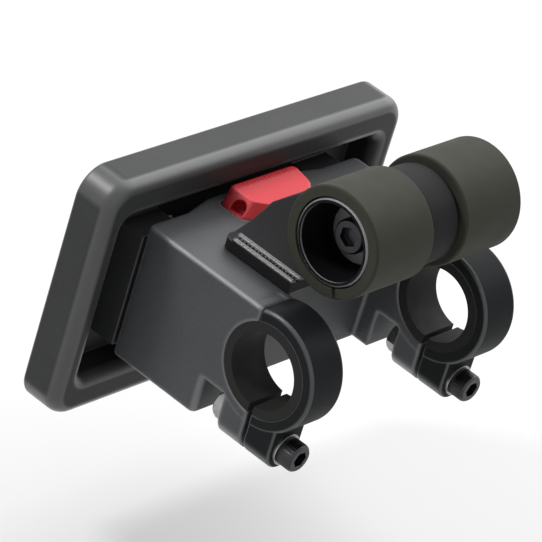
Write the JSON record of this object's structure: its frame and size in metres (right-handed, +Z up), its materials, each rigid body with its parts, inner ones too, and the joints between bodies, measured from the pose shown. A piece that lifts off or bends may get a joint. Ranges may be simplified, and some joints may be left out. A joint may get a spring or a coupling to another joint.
{
  "type": "bicycle handlebar bag mount",
  "caption": "Quick-release mount: a moulded housing with split bar clamps, a push-button latch, a hung receiver plate in front and a short accessory tube above.",
  "frame": {"origin": "on the axis of the bar clamps, midway between the two clamps", "axes": "+X along the bar to the rider's right, +Y forward to the receiver plate, +Z up"},
  "size_m": [0.125, 0.0805, 0.099],
  "materials": {
    "housing": "fine grain, satin black",
    "plate": "smooth, satin black",
    "button": "satin red",
    "latch": "satin black",
    "rubber": "matte, olive black",
    "tube": "black anodised with a bare chamfer",
    "steel": "zinc plated",
    "black_steel": "black oxide"
  },
  "bodies": {
    "adapter": {"adapter_body": "housing", "bottom_cover": "housing", "cover_screws": "steel", "receiver_plate": "plate", "clamp_cap_left": "housing", "clamp_cap_right": "housing", "clamp_liner_left": "rubber", "clamp_liner_right": "rubber", "clamp_bolts": "black_steel", "clamp_washers": "steel", "clamp_nuts": "steel", "button_spring": "steel", "tube_arm": "housing", "arm_screws": "steel", "tube_stub_left": "tube", "tube_stub_right": "tube", "tube_sleeve_left": "rubber", "tube_sleeve_right": "rubber", "tube_bolt": "black_steel", "tube_washers": "steel", "tube_nut": "steel"},
    "button": {"release_button": "button"},
    "latch": {"latch_slide": "latch", "latch_pins": "steel"}
  },
  "joints": [
    {"name": "button_press", "type": "slide", "parent": "adapter", "child": "button", "axis": [0, 0, -1], "range_m": [0, 0.005], "stiffness_N_per_m": 900, "springref_m": -0.004, "deforming": ["button_spring"]},
    {"name": "latch_retract", "type": "slide", "parent": "adapter", "child": "latch", "axis": [0, -1, 0], "range_m": [0, 0.005]}
  ],
  "couplings": [
    {"joint": "latch_retract", "follows": "button_press", "ratio": 1}
  ]
}
